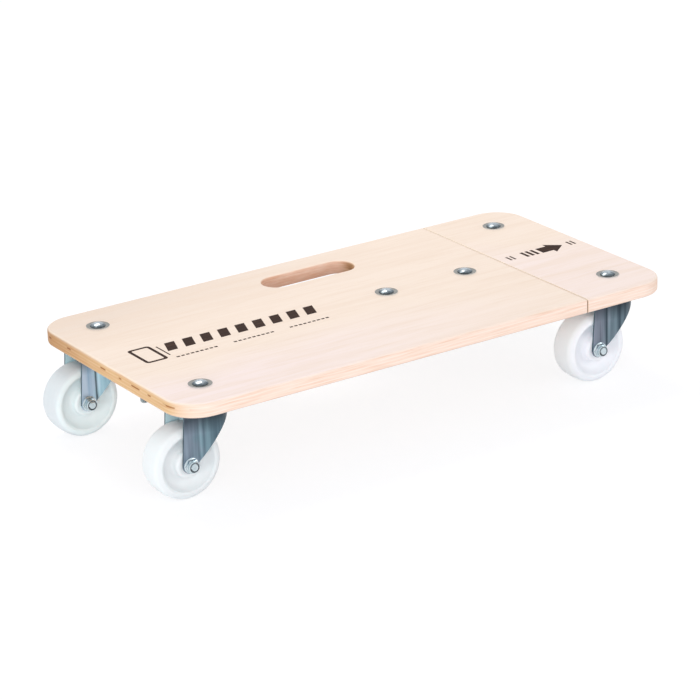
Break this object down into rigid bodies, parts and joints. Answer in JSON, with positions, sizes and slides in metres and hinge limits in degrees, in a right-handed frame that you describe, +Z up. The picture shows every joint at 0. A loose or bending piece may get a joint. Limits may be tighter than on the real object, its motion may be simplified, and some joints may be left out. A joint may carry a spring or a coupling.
{
  "type": "furniture dolly",
  "caption": "Flat plywood furniture dolly with a pull-out end section on a slotted tongue, a hand hole and swivel casters with nylon wheels.",
  "frame": {"origin": "on the floor, under the middle of the closed dolly's box with the wheels trailing towards -X", "axes": "+X along the deck towards the pull-out end section, +Z up, +Y towards the edge with the hand hole"},
  "size_m": [0.606, 0.295, 0.1137],
  "materials": {
    "birch_plywood": "sanded, uncoated birch plywood with open edges",
    "zinc_sheet": "pressed steel, bright blue zinc plating",
    "zinc_fastener": "bright zinc-plated steel",
    "bearing_steel": "polished bearing balls",
    "white_nylon": "moulded white nylon, satin gloss"
  },
  "bodies": {
    "deck": {"main_deck": "birch_plywood", "deck_caster_bolts": "zinc_fastener", "deck_caster_washers": "zinc_fastener", "deck_caster_nuts": "zinc_fastener", "deck_top_races": "zinc_sheet", "deck_lower_races": "zinc_sheet", "deck_king_sleeves": "zinc_fastener", "deck_upper_balls": "bearing_steel", "deck_lower_balls": "bearing_steel", "guide_bolts": "zinc_fastener", "guide_top_washers": "zinc_fastener", "guide_lower_washers": "zinc_fastener", "guide_nuts": "zinc_fastener"},
    "extension": {"end_board": "birch_plywood", "slide_tongue": "birch_plywood", "tongue_screws": "zinc_fastener", "stop_bolt": "zinc_fastener", "stop_washer": "zinc_fastener", "stop_nut": "zinc_fastener", "end_caster_bolts": "zinc_fastener", "end_caster_washers": "zinc_fastener", "end_caster_nuts": "zinc_fastener", "end_top_races": "zinc_sheet", "end_lower_races": "zinc_sheet", "end_king_sleeves": "zinc_fastener", "end_upper_balls": "bearing_steel", "end_lower_balls": "bearing_steel"},
    "front_left_fork_body": {"front_left_fork": "zinc_sheet", "front_left_axle_bolt": "zinc_fastener", "front_left_axle_nut": "zinc_fastener", "front_left_axle_sleeve": "zinc_fastener"},
    "front_left_wheel_body": {"front_left_wheel": "white_nylon"},
    "back_left_fork_body": {"back_left_fork": "zinc_sheet", "back_left_axle_bolt": "zinc_fastener", "back_left_axle_nut": "zinc_fastener", "back_left_axle_sleeve": "zinc_fastener"},
    "back_left_wheel_body": {"back_left_wheel": "white_nylon"},
    "front_right_fork_body": {"front_right_fork": "zinc_sheet", "front_right_axle_bolt": "zinc_fastener", "front_right_axle_nut": "zinc_fastener", "front_right_axle_sleeve": "zinc_fastener"},
    "front_right_wheel_body": {"front_right_wheel": "white_nylon"},
    "back_right_fork_body": {"back_right_fork": "zinc_sheet", "back_right_axle_bolt": "zinc_fastener", "back_right_axle_nut": "zinc_fastener", "back_right_axle_sleeve": "zinc_fastener"},
    "back_right_wheel_body": {"back_right_wheel": "white_nylon"}
  },
  "joints": [
    {"name": "extension_slide", "type": "slide", "parent": "deck", "child": "extension", "axis": [1, 0, 0], "range_m": [0, 0.27]},
    {"name": "front_left_swivel", "type": "hinge", "parent": "deck", "child": "front_left_fork_body", "pos_m": [-0.24, -0.1005, 0.09451], "axis": [0, 0, 1], "continuous": true},
    {"name": "front_left_spin", "type": "hinge", "parent": "front_left_fork_body", "child": "front_left_wheel_body", "pos_m": [-0.2655, -0.1005, 0.0375], "axis": [0, 1, 0], "continuous": true},
    {"name": "back_left_swivel", "type": "hinge", "parent": "deck", "child": "back_left_fork_body", "pos_m": [-0.24, 0.1005, 0.09451], "axis": [0, 0, 1], "continuous": true},
    {"name": "back_left_spin", "type": "hinge", "parent": "back_left_fork_body", "child": "back_left_wheel_body", "pos_m": [-0.2655, 0.1005, 0.0375], "axis": [0, 1, 0], "continuous": true},
    {"name": "front_right_swivel", "type": "hinge", "parent": "extension", "child": "front_right_fork_body", "pos_m": [0.256, -0.1005, 0.09451], "axis": [0, 0, 1], "continuous": true},
    {"name": "front_right_spin", "type": "hinge", "parent": "front_right_fork_body", "child": "front_right_wheel_body", "pos_m": [0.2305, -0.1005, 0.0375], "axis": [0, 1, 0], "continuous": true},
    {"name": "back_right_swivel", "type": "hinge", "parent": "extension", "child": "back_right_fork_body", "pos_m": [0.256, 0.1005, 0.09451], "axis": [0, 0, 1], "continuous": true},
    {"name": "back_right_spin", "type": "hinge", "parent": "back_right_fork_body", "child": "back_right_wheel_body", "pos_m": [0.2305, 0.1005, 0.0375], "axis": [0, 1, 0], "continuous": true}
  ]
}
